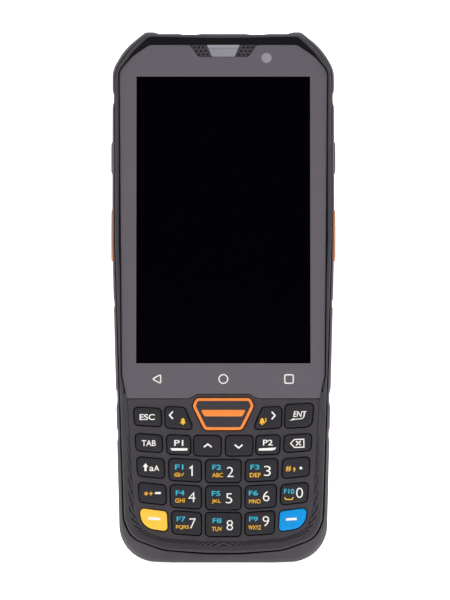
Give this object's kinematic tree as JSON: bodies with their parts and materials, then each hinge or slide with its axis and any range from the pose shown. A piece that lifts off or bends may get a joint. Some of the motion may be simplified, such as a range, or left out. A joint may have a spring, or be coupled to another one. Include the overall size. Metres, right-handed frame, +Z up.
{
  "type": "handheld terminal",
  "caption": "Rugged handheld data terminal with a portrait touch display over a curved keypad, side scan keys, a top scan window and a lift-off battery cover",
  "frame": {"origin": "middle of the lower end, on the surface that the flat foot stands on, halfway through the thickness", "axes": "X across the face to the right, Y from the front face to the back, Z up the length from keypad to scan window"},
  "size_m": [0.0674, 0.017, 0.1585],
  "materials": {
    "front_case": "fine matte texture",
    "rear_case": "fine matte texture",
    "bumper": "satin moulded rubber",
    "silicone": "soft silicone",
    "cover_glass": "printed cover glass with a dark border",
    "display": "unlit display",
    "mid_frame": "cast and machined",
    "grille": "pierced plastic",
    "indicator": "frosted light pipe",
    "camera": "black lens barrel",
    "contact_metal": "stamped steel",
    "circuit_board": "solder mask",
    "shield": "stamped cans",
    "speaker": "speaker box",
    "engine": "engine housing",
    "scan_window": "dark red scan window",
    "camera_glass": "black printed glass",
    "battery_wrap": "moulded pack",
    "gold_contact": "gold plated",
    "battery_cover": "fine matte texture with grip ribs",
    "latch": "ribbed slider",
    "screw": "blackened steel",
    "key": "satin key cap",
    "orange_key": "orange key with a ribbed dark face",
    "yellow_key": "satin yellow",
    "blue_key": "satin blue",
    "side_key": "dark moulded rubber",
    "orange_side_key": "orange with a dark insert"
  },
  "bodies": {
    "case": {"front_housing": "front_case", "rear_housing": "rear_case", "top_bumper": "bumper", "bottom_bumper": "bumper", "side_bumpers": "bumper", "gasket": "silicone", "cover_glass": "cover_glass", "display_module": "display", "mid_frame": "mid_frame", "ear_grilles": "grille", "indicator_light": "indicator", "front_camera": "camera", "keypad_mat": "silicone", "key_domes": "contact_metal", "keypad_board": "circuit_board", "main_board": "circuit_board", "shield_cans": "shield", "speakers": "speaker", "scan_engine": "engine", "scan_window": "scan_window", "rear_camera": "camera", "camera_window": "camera_glass", "battery_contacts": "gold_contact", "usb_port": "contact_metal", "dock_contacts": "gold_contact", "side_switches": "contact_metal", "housing_screws": "screw"},
    "key_scan": {"key_scan": "orange_key"},
    "key_left": {"key_left": "key"},
    "key_right": {"key_right": "key"},
    "key_esc": {"key_esc": "key"},
    "key_enter": {"key_enter": "key"},
    "key_tab": {"key_tab": "key"},
    "key_p1": {"key_p1": "key"},
    "key_up": {"key_up": "key"},
    "key_down": {"key_down": "key"},
    "key_p2": {"key_p2": "key"},
    "key_backspace": {"key_backspace": "key"},
    "key_shift": {"key_shift": "key"},
    "key_1": {"key_1": "key"},
    "key_2": {"key_2": "key"},
    "key_3": {"key_3": "key"},
    "key_hash": {"key_hash": "key"},
    "key_star": {"key_star": "key"},
    "key_4": {"key_4": "key"},
    "key_5": {"key_5": "key"},
    "key_6": {"key_6": "key"},
    "key_0": {"key_0": "key"},
    "key_yellow": {"key_yellow": "yellow_key"},
    "key_7": {"key_7": "key"},
    "key_8": {"key_8": "key"},
    "key_9": {"key_9": "key"},
    "key_blue": {"key_blue": "blue_key"},
    "left_scan_key": {"left_scan_key": "orange_side_key"},
    "right_scan_key": {"right_scan_key": "orange_side_key"},
    "volume_key": {"volume_key": "side_key"},
    "power_key": {"power_key": "side_key"},
    "battery": {"battery_pack": "battery_wrap", "battery_cover": "battery_cover"},
    "latch": {"battery_latch": "latch"}
  },
  "joints": [
    {"name": "key_scan_press", "type": "slide", "parent": "case", "child": "key_scan", "axis": [0, 1, 0], "range_m": [0, 0.0004], "stiffness_N_per_m": 500, "springref_m": -0.002},
    {"name": "key_left_press", "type": "slide", "parent": "case", "child": "key_left", "axis": [0, 1, 0], "range_m": [0, 0.0004], "stiffness_N_per_m": 500, "springref_m": -0.002},
    {"name": "key_right_press", "type": "slide", "parent": "case", "child": "key_right", "axis": [0, 1, 0], "range_m": [0, 0.0004], "stiffness_N_per_m": 500, "springref_m": -0.002},
    {"name": "key_esc_press", "type": "slide", "parent": "case", "child": "key_esc", "axis": [0, 1, 0], "range_m": [0, 0.0004], "stiffness_N_per_m": 500, "springref_m": -0.002},
    {"name": "key_enter_press", "type": "slide", "parent": "case", "child": "key_enter", "axis": [0, 1, 0], "range_m": [0, 0.0004], "stiffness_N_per_m": 500, "springref_m": -0.002},
    {"name": "key_tab_press", "type": "slide", "parent": "case", "child": "key_tab", "axis": [0, 1, 0], "range_m": [0, 0.0004], "stiffness_N_per_m": 500, "springref_m": -0.002},
    {"name": "key_p1_press", "type": "slide", "parent": "case", "child": "key_p1", "axis": [0, 1, 0], "range_m": [0, 0.0004], "stiffness_N_per_m": 500, "springref_m": -0.002},
    {"name": "key_up_press", "type": "slide", "parent": "case", "child": "key_up", "axis": [0, 1, 0], "range_m": [0, 0.0004], "stiffness_N_per_m": 500, "springref_m": -0.002},
    {"name": "key_down_press", "type": "slide", "parent": "case", "child": "key_down", "axis": [0, 1, 0], "range_m": [0, 0.0004], "stiffness_N_per_m": 500, "springref_m": -0.002},
    {"name": "key_p2_press", "type": "slide", "parent": "case", "child": "key_p2", "axis": [0, 1, 0], "range_m": [0, 0.0004], "stiffness_N_per_m": 500, "springref_m": -0.002},
    {"name": "key_backspace_press", "type": "slide", "parent": "case", "child": "key_backspace", "axis": [0, 1, 0], "range_m": [0, 0.0004], "stiffness_N_per_m": 500, "springref_m": -0.002},
    {"name": "key_shift_press", "type": "slide", "parent": "case", "child": "key_shift", "axis": [0, 1, 0], "range_m": [0, 0.0004], "stiffness_N_per_m": 500, "springref_m": -0.002},
    {"name": "key_1_press", "type": "slide", "parent": "case", "child": "key_1", "axis": [0, 1, 0], "range_m": [0, 0.0004], "stiffness_N_per_m": 500, "springref_m": -0.002},
    {"name": "key_2_press", "type": "slide", "parent": "case", "child": "key_2", "axis": [0, 1, 0], "range_m": [0, 0.0004], "stiffness_N_per_m": 500, "springref_m": -0.002},
    {"name": "key_3_press", "type": "slide", "parent": "case", "child": "key_3", "axis": [0, 1, 0], "range_m": [0, 0.0004], "stiffness_N_per_m": 500, "springref_m": -0.002},
    {"name": "key_hash_press", "type": "slide", "parent": "case", "child": "key_hash", "axis": [0, 1, 0], "range_m": [0, 0.0004], "stiffness_N_per_m": 500, "springref_m": -0.002},
    {"name": "key_star_press", "type": "slide", "parent": "case", "child": "key_star", "axis": [0, 1, 0], "range_m": [0, 0.0004], "stiffness_N_per_m": 500, "springref_m": -0.002},
    {"name": "key_4_press", "type": "slide", "parent": "case", "child": "key_4", "axis": [0, 1, 0], "range_m": [0, 0.0004], "stiffness_N_per_m": 500, "springref_m": -0.002},
    {"name": "key_5_press", "type": "slide", "parent": "case", "child": "key_5", "axis": [0, 1, 0], "range_m": [0, 0.0004], "stiffness_N_per_m": 500, "springref_m": -0.002},
    {"name": "key_6_press", "type": "slide", "parent": "case", "child": "key_6", "axis": [0, 1, 0], "range_m": [0, 0.0004], "stiffness_N_per_m": 500, "springref_m": -0.002},
    {"name": "key_0_press", "type": "slide", "parent": "case", "child": "key_0", "axis": [0, 1, 0], "range_m": [0, 0.0004], "stiffness_N_per_m": 500, "springref_m": -0.002},
    {"name": "key_yellow_press", "type": "slide", "parent": "case", "child": "key_yellow", "axis": [0, 1, 0], "range_m": [0, 0.0004], "stiffness_N_per_m": 500, "springref_m": -0.002},
    {"name": "key_7_press", "type": "slide", "parent": "case", "child": "key_7", "axis": [0, 1, 0], "range_m": [0, 0.0004], "stiffness_N_per_m": 500, "springref_m": -0.002},
    {"name": "key_8_press", "type": "slide", "parent": "case", "child": "key_8", "axis": [0, 1, 0], "range_m": [0, 0.0004], "stiffness_N_per_m": 500, "springref_m": -0.002},
    {"name": "key_9_press", "type": "slide", "parent": "case", "child": "key_9", "axis": [0, 1, 0], "range_m": [0, 0.0004], "stiffness_N_per_m": 500, "springref_m": -0.002},
    {"name": "key_blue_press", "type": "slide", "parent": "case", "child": "key_blue", "axis": [0, 1, 0], "range_m": [0, 0.0004], "stiffness_N_per_m": 500, "springref_m": -0.002},
    {"name": "left_scan_key_press", "type": "slide", "parent": "case", "child": "left_scan_key", "axis": [1, 0, 0], "range_m": [0, 0.0005], "stiffness_N_per_m": 600, "springref_m": -0.002},
    {"name": "right_scan_key_press", "type": "slide", "parent": "case", "child": "right_scan_key", "axis": [-1, 0, 0], "range_m": [0, 0.0005], "stiffness_N_per_m": 600, "springref_m": -0.002},
    {"name": "volume_key_press", "type": "slide", "parent": "case", "child": "volume_key", "axis": [1, 0, 0], "range_m": [0, 0.0005], "stiffness_N_per_m": 600, "springref_m": -0.002},
    {"name": "power_key_press", "type": "slide", "parent": "case", "child": "power_key", "axis": [-1, 0, 0], "range_m": [0, 0.0005], "stiffness_N_per_m": 600, "springref_m": -0.002},
    {"name": "battery_lift", "type": "slide", "parent": "case", "child": "battery", "axis": [0, 1, 0], "range_m": [0, 0.025]},
    {"name": "latch_slide", "type": "slide", "parent": "case", "child": "latch", "axis": [0, 0, 1], "range_m": [0, 0.0025]}
  ]
}
